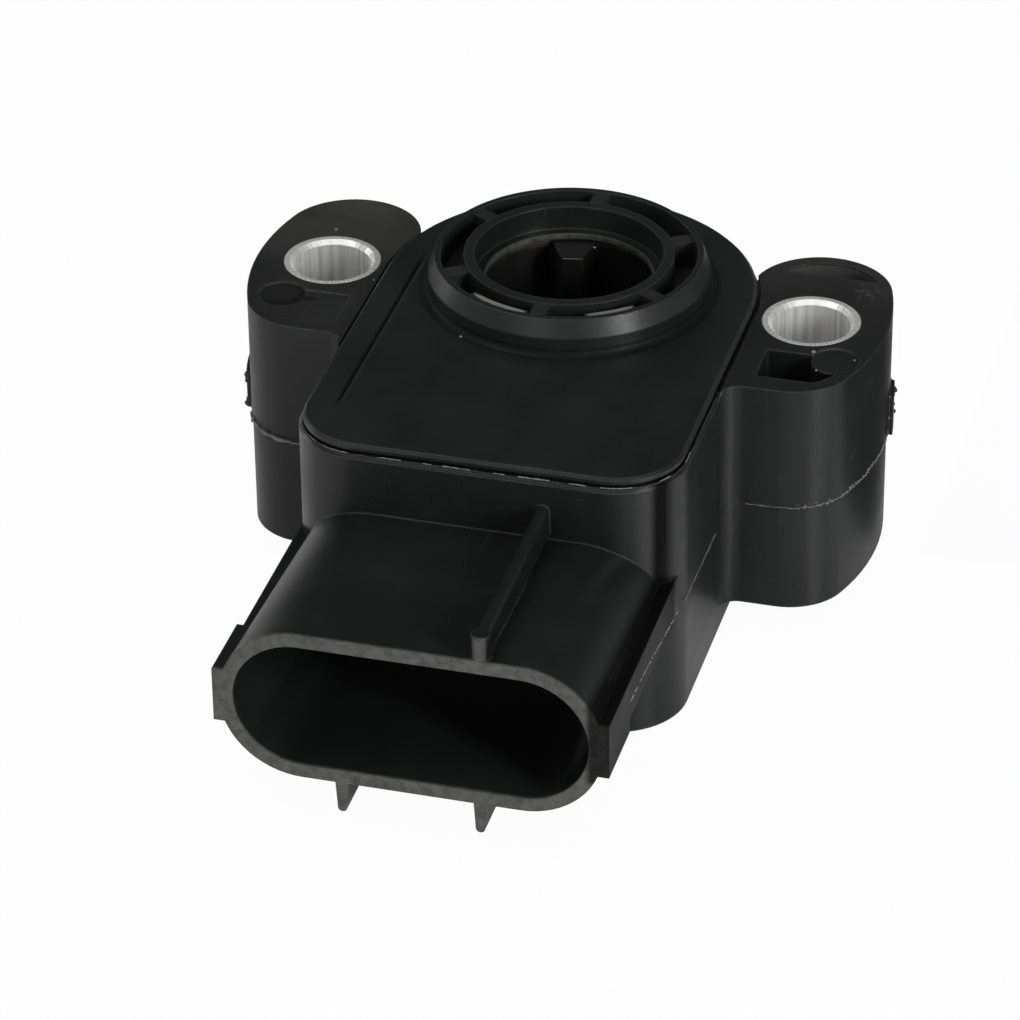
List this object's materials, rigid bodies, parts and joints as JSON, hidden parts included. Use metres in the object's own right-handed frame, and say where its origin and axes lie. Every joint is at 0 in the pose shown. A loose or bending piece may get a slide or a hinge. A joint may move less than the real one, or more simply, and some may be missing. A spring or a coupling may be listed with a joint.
{
  "type": "throttle position sensor",
  "caption": "Rotary throttle position sensor: two-eared moulded housing, spigot hub over a sprung rotor with drive lugs, metal mounting bushings and an oval connector shroud.",
  "frame": {"origin": "on the rotor's axis, in the plane of the two ears' top faces, which is the mounting plane", "axes": "+Z out of the hub along the rotor's axis, -Y out of the connector's mouth, +X through the right-hand mounting hole"},
  "size_m": [0.0527, 0.0622, 0.026],
  "materials": {
    "housing_plastic": "satin moulded glass-filled plastic",
    "cover_plastic": "satin moulded plastic, a little smoother than the housing",
    "bushing_steel": "bright zinc-plated steel",
    "rotor_plastic": "dark moulded plastic",
    "wiper_metal": "spring bronze",
    "seal_rubber": "soft rubber",
    "washer_plastic": "natural slippery plastic",
    "spring_steel": "spring steel wire",
    "board_ceramic": "fired ceramic with printed tracks",
    "terminal_metal": "tinned copper alloy",
    "rivet_brass": "formed brass"
  },
  "bodies": {
    "sensor_body": {"housing": "housing_plastic", "hub_cover": "cover_plastic", "bushing_left": "bushing_steel", "bushing_right": "bushing_steel", "rotor_seal": "seal_rubber", "thrust_washer": "washer_plastic", "return_spring": "spring_steel", "resistor_board": "board_ceramic", "terminal_supply": "terminal_metal", "terminal_signal": "terminal_metal", "terminal_idle": "terminal_metal", "terminal_ground": "terminal_metal", "rivet_supply": "rivet_brass", "rivet_signal": "rivet_brass", "rivet_idle": "rivet_brass", "rivet_ground": "rivet_brass"},
    "rotor": {"rotor": "rotor_plastic", "signal_wiper": "wiper_metal", "idle_wiper": "wiper_metal"}
  },
  "joints": [
    {"name": "rotor_turn", "type": "hinge", "parent": "sensor_body", "child": "rotor", "pos_m": [0, 0, 0], "axis": [0, 0, 1], "range_deg": [0, 100], "stiffness_Nm_per_rad": 0.004, "springref_deg": -20.05, "deforming": ["return_spring"]}
  ]
}
